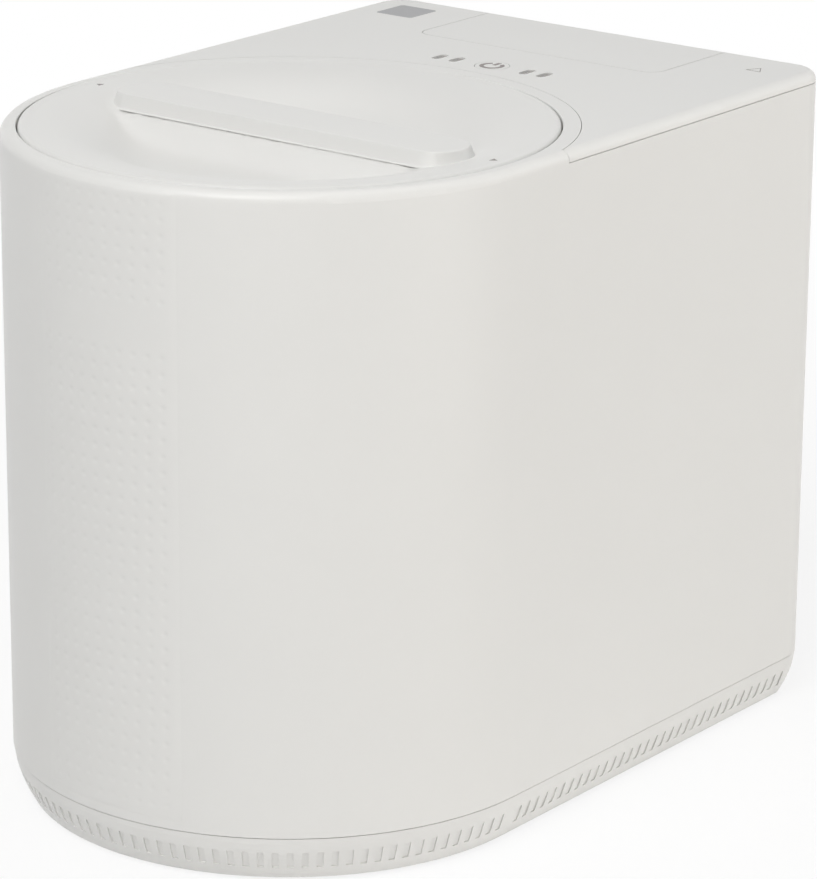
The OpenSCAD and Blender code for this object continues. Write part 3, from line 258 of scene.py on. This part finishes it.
def quarter(radius, height, size, count=5):
    """Points of an upper outer rounding that ends at the given outside radius."""
    turns = [math.pi / 2 * i / count for i in range(count + 1)]
    return [(radius - size + size * math.sin(turn), height - size + size * math.cos(turn))
            for turn in turns]


def add_arc(bm, low, high, start_deg, sweep_deg, steps):
    """Adds a bar bent round the axis, with its section from one radius and height to another."""
    corners = [bm.verts.new((radius * MM, 0, height * MM)) for radius, height in
               (low, (high[0], low[1]), high, (low[0], high[1]))]
    face = bm.faces.new(corners)
    turned = Matrix.Rotation(math.radians(start_deg), 3, "Z")
    bmesh.ops.rotate(bm, verts=corners, cent=(0, 0, 0), matrix=turned)
    bmesh.ops.spin(bm, geom=[face, *face.verts, *face.edges], cent=(0, 0, 0), axis=(0, 0, 1),
                   angle=math.radians(sweep_deg), steps=steps)


def piece_from(bm, name, body, slot_name, *nodes, look=None, sharp_deg=35):
    """Turns a bmesh into a smooth piece that rides on a body and stands for the nodes."""
    bmesh.ops.recalc_face_normals(bm, faces=bm.faces)
    for face in bm.faces:
        face.smooth = True
    for edge in bm.edges:
        if len(edge.link_faces) == 2 and edge.calc_face_angle() > math.radians(sharp_deg):
            edge.smooth = False
    data = bpy.data.meshes.new(name)
    bm.to_mesh(data)
    bm.free()
    piece = bpy.data.objects.new(name, data)
    bpy.context.collection.objects.link(piece)
    data.materials.append(FINISHES[look or slot_name])
    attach(piece, body)
    if nodes:
        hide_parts(*nodes)
    return piece


def thickened(bm, move):
    """Gives a sheet its other side, each corner moved by what move returns for its place."""
    made = bmesh.ops.extrude_face_region(bm, geom=bm.faces[:])
    for vertex in [item for item in made["geom"] if isinstance(item, bmesh.types.BMVert)]:
        vertex.co += move(vertex.co)


# Lid


# Lengths in millimetres, heights from the rim
LID_STEPS = 160
DISH_RINGS = 40
LID_SKIN = 2.6
LID_EDGE_ROUND = 2.0
OUTER_SKIRT_FOOT = -11.7
INNER_SKIRT_INSET = 14.2
INNER_SKIRT_FOOT = (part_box("lid")[0].z - RIM_Z) / MM
LUGS = 4
FIRST_LUG_DEG = 45
LUG_DEG = 20
LUG_STEPS = 8
LUG_SUNK = 1
LUG_OUT = 5
LUG_HEIGHT = 3
LIP_IN = 4
LIP_RISE_IN = 3
LIP_RISE_SHARE = 0.6
BAR_SINK = 0.1
BAR_FOOT_ROUND = 1.0
BAR_SEGMENTS = 72
# The lid's two triangles are flat marks in painted shade, for the shade inside small recesses
LID_MARK_R = 2.2
LID_MARK_AT = 118.2
LID_MARK_PROUD = 0.02
LID_MARK_THICK = 0.5


def s_curve(t):
    return 2 * t * t if t < 0.5 else 1 - 2 * (1 - t) * (1 - t)


def dish_height(radius, sizes):
    """Height of the dish below the rim, in millimetres."""
    rim = LID_R / MM - sizes.lid_rim
    share = min(max((rim - radius) / (rim - sizes.dish_flat), 0), 1)
    return -sizes.dish_depth * s_curve(share)


def ridge_height(across, sizes):
    """Height of the ridge under the bar, at a distance from the bar's axis."""
    share = min(max((abs(across) - sizes.ridge_half) / sizes.flank, 0), 1)
    fall = sizes.dish_depth - sizes.ridge_drop + 0.5
    return -sizes.ridge_drop - fall * (1 - (1 - share) ** 2)


def blended(a, b, reach):
    """The higher of two heights, with a soft hollow of the given size where they meet."""
    return max(a, b) + max(reach - abs(a - b), 0) ** 2 / (4 * reach)


def add_lugs(bm):
    """Adds the lugs round the foot of the lid's inner skirt."""
    ring = LID_R / MM - INNER_SKIRT_INSET
    for lug in range(LUGS):
        add_arc(bm, (ring - LUG_SUNK, INNER_SKIRT_FOOT),
                (ring + LUG_OUT, INNER_SKIRT_FOOT + LUG_HEIGHT),
                FIRST_LUG_DEG + 360 / LUGS * lug - LUG_DEG / 2, LUG_DEG, LUG_STEPS)


def lid_outline(sizes):
    """The lid's section without its ridge, from the middle of the top round to the underside."""
    rim = LID_R / MM
    inner = rim - INNER_SKIRT_INSET
    proud = sizes.lid_edge
    radii = [(rim - sizes.lid_rim) * i / DISH_RINGS for i in range(DISH_RINGS + 1)]
    top = [(radius, dish_height(radius, sizes)) for radius in radii]
    lip = [(rim - LIP_IN, 0), (rim - LIP_RISE_IN, proud * LIP_RISE_SHARE),
           *quarter(rim, proud, LID_EDGE_ROUND)]
    outer_skirt = [(rim, OUTER_SKIRT_FOOT), (rim - LID_SKIN, OUTER_SKIRT_FOOT),
                   (rim - LID_SKIN, -LID_SKIN)]
    inner_skirt = [(inner, -LID_SKIN), (inner, INNER_SKIRT_FOOT),
                   (inner - LID_SKIN, INNER_SKIRT_FOOT), (inner - LID_SKIN, -LID_SKIN - 1)]
    under = [(radius, dish_height(radius, sizes) - LID_SKIN) for radius in radii[::-2]
             if radius < inner - LID_SKIN - 2]
    return top + lip + outer_skirt + inner_skirt + under


def build_lid(sizes):
    bm = spun(lid_outline(sizes), LID_STEPS)
    edge = LID_R / MM - sizes.lid_rim
    for vertex in bm.verts:
        radius = math.hypot(vertex.co.x, vertex.co.y) / MM
        dish = dish_height(radius, sizes)
        on_top = vertex.co.z / MM > dish - 1
        if on_top and radius < edge + NEAR:
            ridge = ridge_height(vertex.co.y / MM, sizes)
            vertex.co.z = blended(dish, ridge, sizes.hollow) * MM
    add_lugs(bm)
    bmesh.ops.translate(bm, verts=bm.verts, vec=(0, NOSE_Y, RIM_Z))
    return piece_from(bm, "lid_top", "lid_top", "housing_white", "lid")


def build_bar(sizes):
    """The bar that the lid is turned by: round ends, sides that lean in, softened edges."""
    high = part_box("lid_handle")[1]
    half_w = high.y - NOSE_Y
    foot = RIM_Z - (sizes.ridge_drop + BAR_SINK) * MM
    tall = high.z - foot
    bm = bmesh.new()
    made = bmesh.ops.create_circle(bm, cap_ends=True, segments=BAR_SEGMENTS, radius=half_w)
    for vertex in made["verts"]:
        if abs(vertex.co.x) > NEAR * MM:
            vertex.co.x += math.copysign(high.x - half_w, vertex.co.x)
    bmesh.ops.translate(bm, verts=bm.verts, vec=(0, NOSE_Y, foot))
    top = next(iter(bm.faces))
    bmesh.ops.duplicate(bm, geom=bm.faces[:] + bm.edges[:] + bm.verts[:])
    up = tall if top.normal.z > 0 else -tall
    bmesh.ops.inset_region(bm, faces=[top], thickness=sizes.bar_slant * MM, depth=up,
                           use_boundary=True, use_even_offset=True)
    bmesh.ops.remove_doubles(bm, verts=bm.verts, dist=NEAR * MM)
    for height, offset in ((high.z, sizes.bar_edge), (foot, BAR_FOOT_ROUND)):
        rim = [edge for edge in bm.edges
               if all(abs(vertex.co.z - height) < NEAR * MM for vertex in edge.verts)]
        bmesh.ops.bevel(bm, geom=rim, offset=offset * MM, offset_type="OFFSET", affect="EDGES",
                        segments=4, profile=0.5, material=-1)
    return piece_from(bm, "lid_bar", "lid_top", "housing_white", "lid_handle", sharp_deg=50)


def build_lid_marks():
    """The two small recessed triangles pointing away from the bar's ends, flat in painted shade.
    """
    bm = bmesh.new()
    for side in (-1, 1):
        made = bmesh.ops.create_circle(bm, cap_ends=True, segments=3, radius=LID_MARK_R * MM)
        place = Vector((side * LID_MARK_AT * MM, NOSE_Y, RIM_Z + LID_MARK_PROUD * MM))
        turn = Matrix.Rotation(-side * math.pi / 2, 3, "Z")
        bmesh.ops.rotate(bm, verts=made["verts"], cent=(0, 0, 0), matrix=turn)
        bmesh.ops.translate(bm, verts=made["verts"], vec=place)
    thickened(bm, lambda place: Vector((0, 0, -LID_MARK_THICK * MM)))
    # Their dark grey is painted shade, standing in for the shade inside the recesses
    return piece_from(bm, "lid_marks", "lid_top", "grey_plate", look="mark_grey")


class COMPOSTER_OT_lid(bpy.types.Operator):
    """Make the dished lid with its soft ridge, the bar on it, and the two marks beside it"""

    bl_idname = "composter.lid"
    bl_label = "Lid"

    def execute(self, context):
        sizes = in_mm(context.scene.composter_sizes)
        build_lid(sizes)
        build_bar(sizes)
        build_lid_marks()
        return {"FINISHED"}


# Nose


# Grid steps in each dimple's cell, and the share of a cell's half that becomes the dimple's edge
DIMPLE_SEGMENTS = 8
DIMPLE_EDGE = 0.75
COLUMNS = 10
UPPER_ROWS = 7
BARE_ROWS = 2
LOWER_ROWS = 29
# Plain margins round the field, in millimetres and, at its sides, in degrees
TOP_MARGIN = 6.4
FOOT_MARGIN = 4
SIDE_MARGIN_DEG = 2.5
TOP_FADE = 3
# How deep the border of the patch lies in the housing, how far its plain middle stands out past
# the dimples' depth, and its thickness, in millimetres
PATCH_SUNK = 0.06
PATCH_PROUD = 0.03
PATCH_THICK = 0.6


def nose_rows(sizes):
    """Heights of the cell edges down the nose, from the top, and which cells have dimples."""
    edges = [sizes.dimple_top + TOP_MARGIN, sizes.dimple_top + sizes.dimple_rise / 2]
    dimpled = [False]
    for count, rise, has_dimples in (
            (UPPER_ROWS, sizes.dimple_rise, True), (BARE_ROWS, sizes.bare_band / BARE_ROWS, False),
            (LOWER_ROWS, sizes.dimple_rise_low, True), (1, FOOT_MARGIN, False)):
        for _ in range(count):
            edges.append(edges[-1] - rise)
            dimpled.append(has_dimples)
    return edges, dimpled


def cell_of(edges, share):
    """The cell at a share of the way along the edges, and the place in it from -1 to 1."""
    at = share * (len(edges) - 1)
    cell = min(int(at + 1e-4), len(edges) - 2)
    return cell, 2 * (at - cell) - 1


def middle_and_half(edges, cell):
    """The middle of a cell between two edges, and half its width."""
    start, end = edges[cell:cell + 2]
    return (start + end) / 2, (end - start) / 2


def ramp(share):
    """A smooth rise from 0 to 1."""
    share = min(max(share, 0), 1)
    return share * share * (3 - 2 * share)


def nose_radius(height, edge=5.0):
    """Outside radius of the housing's nose at a height, all in millimetres."""
    above = max(height - (RIM_Z / MM - edge), 0)
    return NOSE_R / MM - edge + math.sqrt(max(edge * edge - above * above, 0))


def build_nose_patch(sizes):
    """A skin on the nose with rows of shallow dimples, fading into the housing at its border."""
    step = math.degrees(sizes.dimple_step * MM / NOSE_R)
    half = COLUMNS / 2 * step
    turns = [-half - SIDE_MARGIN_DEG, *(-half + step * i for i in range(COLUMNS + 1)),
             half + SIDE_MARGIN_DEG]
    side_fade = math.radians(SIDE_MARGIN_DEG)
    heights, dimpled = nose_rows(sizes)
    bm = bmesh.new()
    bmesh.ops.create_grid(bm, x_segments=(len(turns) - 1) * DIMPLE_SEGMENTS,
                          y_segments=(len(heights) - 1) * DIMPLE_SEGMENTS, size=0.5)
    for vertex in bm.verts:
        column, u = cell_of(turns, vertex.co.x + 0.5)
        row, v = cell_of(heights, 0.5 - vertex.co.y)
        turn_mid, turn_half = middle_and_half(turns, column)
        high_mid, high_half = middle_and_half(heights, row)
        reach = max(abs(u), abs(v))
        depth = 0.0
        across, up = u * turn_half, v * high_half
        if 0 < column < len(turns) - 2 and dimpled[row] and reach < DIMPLE_EDGE + 0.05:
            share = reach / DIMPLE_EDGE
            far = math.hypot(u, v) or 1
            across = math.degrees(u / far * share * sizes.dimple_radius / (NOSE_R / MM))
            up = v / far * share * -sizes.dimple_radius
            depth = sizes.dimple_depth * (1 - share * share) ** 2
        angle, height = math.radians(turn_mid + across), high_mid + up
        border = min((angle - math.radians(turns[0])) / side_fade,
                     (math.radians(turns[-1]) - angle) / side_fade,
                     (heights[0] - height) / TOP_FADE, (height - heights[-1]) / FOOT_MARGIN)
        skin = -PATCH_SUNK + (PATCH_SUNK + sizes.dimple_depth + PATCH_PROUD) * ramp(border)
        radius = nose_radius(height) + skin - depth
        vertex.co = Vector((radius * math.sin(angle) * MM, NOSE_Y - radius * math.cos(angle) * MM,
                            height * MM))
    axis = Vector((0, NOSE_Y, 0))
    level = Vector((1, 1, 0))
    thickened(bm, lambda place: ((axis - place) * level).normalized() * PATCH_THICK * MM)
    return piece_from(bm, "nose_dimples", "housing", "housing_white", sharp_deg=60)


class COMPOSTER_OT_nose(bpy.types.Operator):
    """Make the dimpled field on the nose"""

    bl_idname = "composter.nose"
    bl_label = "Nose"

    def execute(self, context):
        build_nose_patch(in_mm(context.scene.composter_sizes))
        return {"FINISHED"}


# Controls


# Lengths in millimetres
SIGN_STROKE = 2.2
SIGN_R = 6.3
SIGN_THICK = 0.06
SIGN_GAP_DEG = 64
SIGN_STEPS = 48
SIGN_LINE = 5.4
SIGN_LINE_AT = 4.2
DECK_MARK_R = 5
DECK_MARK_STROKE = 0.9
DECK_MARK_AT = (110, 227)
DECK_MARK_PROUD = 0.05
DECK_MARK_THICK = 0.4


def build_power_sign():
    """The sign for power on the key: an open ring with a line in its gap."""
    bm = bmesh.new()
    add_arc(bm, (SIGN_R - SIGN_STROKE, 0), (SIGN_R, SIGN_THICK), 90 + SIGN_GAP_DEG / 2,
            360 - SIGN_GAP_DEG, SIGN_STEPS)
    line = bmesh.ops.create_cube(bm, size=MM)
    bmesh.ops.scale(bm, verts=line["verts"], vec=(SIGN_STROKE, SIGN_LINE, SIGN_THICK))
    bmesh.ops.translate(bm, verts=line["verts"],
                        vec=(0, SIGN_LINE_AT * MM, SIGN_THICK / 2 * MM))
    bmesh.ops.translate(bm, verts=bm.verts, vec=(KEY_AT.x, KEY_AT.y, top_of("power_key")))
    return piece_from(bm, "power_sign", "key", "grey_plate", look="mark_grey")


def build_deck_mark():
    """The outline of a small triangle on the deck."""
    bm = bmesh.new()
    bmesh.ops.create_circle(bm, cap_ends=True, segments=3, radius=DECK_MARK_R * MM)
    ring = bmesh.ops.inset_region(bm, faces=bm.faces[:], thickness=DECK_MARK_STROKE * MM,
                                  use_boundary=True)
    hole = [face for face in bm.faces if face not in ring["faces"]]
    bmesh.ops.delete(bm, geom=hole, context="FACES_ONLY")
    across, back = DECK_MARK_AT
    bmesh.ops.translate(bm, verts=bm.verts, vec=(across * MM, NOSE_Y + back * MM,
                                                 RIM_Z + DECK_MARK_PROUD * MM))
    thickened(bm, lambda place: Vector((0, 0, -DECK_MARK_THICK * MM)))
    return piece_from(bm, "deck_mark", "housing", "grey_plate", look="mark_grey")


class COMPOSTER_OT_controls(bpy.types.Operator):
    """Print the sign for power on the key and a small triangle on the deck"""

    bl_idname = "composter.controls"
    bl_label = "Controls"

    def execute(self, context):
        build_power_sign()
        build_deck_mark()
        return {"FINISHED"}


# Stage


# The photograph's size, focal length and the place in it of the point aimed at, in pixels
IMAGE_W, IMAGE_H = 817, 879
FOCAL_PX = 4234.0
AIM_X, AIM_Y = 349.13, 432.34
AIM_POINT = (0, -0.015, 0.165)
SENSOR_MM = 36
CLIP_END = 20
SKY_STRENGTH = 0.05
FLOOR_HALF = 8
FLOOR_ROUGHNESS = 0.9
# How much of the floor's own shade shows near the object, and where that starts and stops fading
FLOOR_SHADE = 0.16
SHADE_NEAR, SHADE_FAR = 0.4, 1.2


def area_lamp(name, place, aim, power, width, height, colour):
    data = bpy.data.lights.new(name, "AREA")
    data.shape = "RECTANGLE"
    data.size, data.size_y = width, height
    data.energy = power
    data.color = colour
    lamp = bpy.data.objects.new(name, data)
    bpy.context.collection.objects.link(lamp)
    lamp.location = place
    lamp.rotation_euler = (Vector(aim) - Vector(place)).to_track_quat("-Z", "Y").to_euler()
    return lamp


def aim_camera(view):
    """Stands the camera where the photograph was taken from."""
    turn, tilt, roll = view.turn, view.tilt, view.roll
    back = Vector((math.sin(turn) * math.cos(tilt), -math.cos(turn) * math.cos(tilt),
                   math.sin(tilt)))
    up_axis = Vector((0, 0, 1))
    eye = Vector(AIM_POINT) + back * view.distance
    ahead = -back
    right = ahead.cross(up_axis).normalized()
    up = right.cross(ahead)
    across = (AIM_X - IMAGE_W / 2) / FOCAL_PX
    above = -(AIM_Y - IMAGE_H / 2) / FOCAL_PX
    ahead = (ahead - right * across - up * above).normalized()
    right = ahead.cross(up_axis).normalized()
    up = right.cross(ahead)
    right, up = (right * math.cos(roll) + up * math.sin(roll),
                 up * math.cos(roll) - right * math.sin(roll))
    data = bpy.data.cameras.new("Camera")
    data.sensor_width = SENSOR_MM
    data.lens = FOCAL_PX * SENSOR_MM / IMAGE_H
    data.clip_end = CLIP_END
    camera = bpy.data.objects.new("Camera", data)
    bpy.context.collection.objects.link(camera)
    turned = Matrix((right, up, -ahead)).transposed().to_4x4()
    camera.matrix_world = Matrix.Translation(eye) @ turned
    bpy.context.scene.camera = camera


def white_backdrop(tree, output, made, kind, shade=0.0):
    """Shows white to the camera and in reflections, with a share of the made shade near by."""
    path = add_node(tree, "ShaderNodeLightPath")
    seen = path.outputs["Is Camera Ray"]
    for ray in ("Is Glossy Ray", "Is Transmission Ray"):
        either = add_node(tree, "ShaderNodeMath", operation="MAXIMUM")
        tree.links.new(seen, either.inputs[0])
        tree.links.new(path.outputs[ray], either.inputs[1])
        seen = either.outputs[0]
    place = add_node(tree, "ShaderNodeTexCoord")
    reach = add_node(tree, "ShaderNodeVectorMath", operation="LENGTH")
    share = add_node(tree, "ShaderNodeMapRange")
    for name, value in (("From Min", SHADE_NEAR), ("From Max", SHADE_FAR),
                        ("To Min", 1 - shade), ("To Max", 1.0)):
        share.inputs[name].default_value = value
    part = add_node(tree, "ShaderNodeMath", operation="MULTIPLY")
    tree.links.new(place.outputs["Object"], reach.inputs[0])
    tree.links.new(reach.outputs["Value"], share.inputs["Value"])
    tree.links.new(share.outputs["Result"], part.inputs[1])
    tree.links.new(seen, part.inputs[0])
    white = add_node(tree, kind)
    white.inputs["Color"].default_value = (1, 1, 1, 1)
    blend = add_node(tree, "ShaderNodeMixShader")
    tree.links.new(part.outputs[0], blend.inputs[0])
    tree.links.new(made, blend.inputs[1])
    tree.links.new(white.outputs[0], blend.inputs[2])
    tree.links.new(blend.outputs[0], tree.nodes[output].inputs[0])


LAMPS = (
    # Name, place and point aimed at in metres, watts, width and height in metres, colour
    ("Front lamp", (0.5, -1.5, 2.1), (0, 0, 0.3), 31.4, 1.2, 1.2, (1.0, 0.99, 0.96)),
    ("Front left lamp", (-0.2, -1.6, 2.1), (0, 0, 0.3), 8.4, 0.8, 0.8, (0.88, 0.93, 1.0)),
    ("Low front lamp", (0.7, -1.6, 0.12), (0, 0, 0.05), 2.2, 2.0, 0.2, (1.0, 0.98, 0.95)),
    ("Top lamp", (0, 0.2, 2.2), (0, 0, 0.2), 12, 2.0, 2.0, (1.0, 0.99, 0.97)),
    ("Right lamp", (2.3, 0.3, 0.15), (0, 0, 0.16), 12.8, 1.6, 0.3, (1.0, 0.96, 0.91)),
    ("Back lamp", (1.6, 1.8, 1.3), (0, 0, 0.25), 10.5, 1.4, 1.0, (0.93, 0.97, 1.0)),
    ("Back right lamp", (1.5, 1.9, 0.25), (0, 0, 0.16), 4.5, 1.4, 0.5, (1.0, 0.92, 0.8)),
    ("Side lamp", (-2.2, 0.9, 0.3), (0, 0, 0.16), 18, 1.4, 0.6, (1.0, 0.99, 0.98)),
)
# It stands opposite the camera, where its reflection would glare on the top
UNSEEN_LAMP = "Side lamp"


class COMPOSTER_OT_stage(bpy.types.Operator):
    """Set up the floor, the lamps, the world and the camera"""

    bl_idname = "composter.stage"
    bl_label = "Stage"

    def execute(self, context):
        scene = context.scene
        scene.view_settings.view_transform = "Standard"
        world = bpy.data.worlds.new("Studio")
        scene.world = world
        world.use_nodes = True
        tree = world.node_tree
        sky = tree.nodes["Background"]
        sky.inputs["Color"].default_value = (1.0, 1.0, 1.0, 1)
        sky.inputs["Strength"].default_value = SKY_STRENGTH
        white_backdrop(tree, "World Output", sky.outputs[0], "ShaderNodeBackground")
        floor_bm = bmesh.new()
        bmesh.ops.create_grid(floor_bm, x_segments=1, y_segments=1, size=FLOOR_HALF)
        data = bpy.data.meshes.new("floor")
        floor_bm.to_mesh(data)
        floor_bm.free()
        floor = bpy.data.objects.new("floor", data)
        context.collection.objects.link(floor)
        material, tree = node_graph("Studio floor")
        shader = tree.nodes["Principled BSDF"]
        shader.inputs["Base Color"].default_value = (*scene.composter_colours.floor, 1)
        shader.inputs["Roughness"].default_value = FLOOR_ROUGHNESS
        white_backdrop(tree, "Material Output", shader.outputs[0], "ShaderNodeEmission",
                       FLOOR_SHADE)
        floor.data.materials.append(material)
        for lamp in LAMPS:
            made = area_lamp(*lamp)
            made.visible_glossy = made.name != UNSEEN_LAMP
        aim_camera(scene.composter_view)
        return {"FINISHED"}


class COMPOSTER_PT_panel(bpy.types.Panel):
    """Sizes, colours and steps of the composter's looks"""

    bl_idname = "COMPOSTER_PT_panel"
    bl_label = "Composter"
    bl_space_type = "VIEW_3D"
    bl_region_type = "UI"
    bl_category = "Composter"

    def draw(self, context):
        layout = self.layout
        scene = context.scene
        for group in (scene.composter_sizes, scene.composter_colours, scene.composter_view):
            for name in group.__annotations__:
                layout.prop(group, name)
        for operator in OPERATORS:
            layout.operator(operator.bl_idname)


OPERATORS = (COMPOSTER_OT_finishes, COMPOSTER_OT_lid, COMPOSTER_OT_nose, COMPOSTER_OT_controls,
             COMPOSTER_OT_stage)
CLASSES = (ComposterColours, ComposterSizes, ComposterView, *OPERATORS, COMPOSTER_PT_panel)


def register():
    for cls in CLASSES:
        bpy.utils.register_class(cls)
    bpy.types.Scene.composter_colours = PointerProperty(type=ComposterColours)
    bpy.types.Scene.composter_sizes = PointerProperty(type=ComposterSizes)
    bpy.types.Scene.composter_view = PointerProperty(type=ComposterView)


def unregister():
    del bpy.types.Scene.composter_colours
    del bpy.types.Scene.composter_sizes
    del bpy.types.Scene.composter_view
    for cls in reversed(CLASSES):
        bpy.utils.unregister_class(cls)


def main():
    register()
    bpy.ops.composter.finishes()
    bpy.ops.composter.lid()
    bpy.ops.composter.nose()
    bpy.ops.composter.controls()
    bpy.ops.composter.stage()


if __name__ == "__main__":
    main()
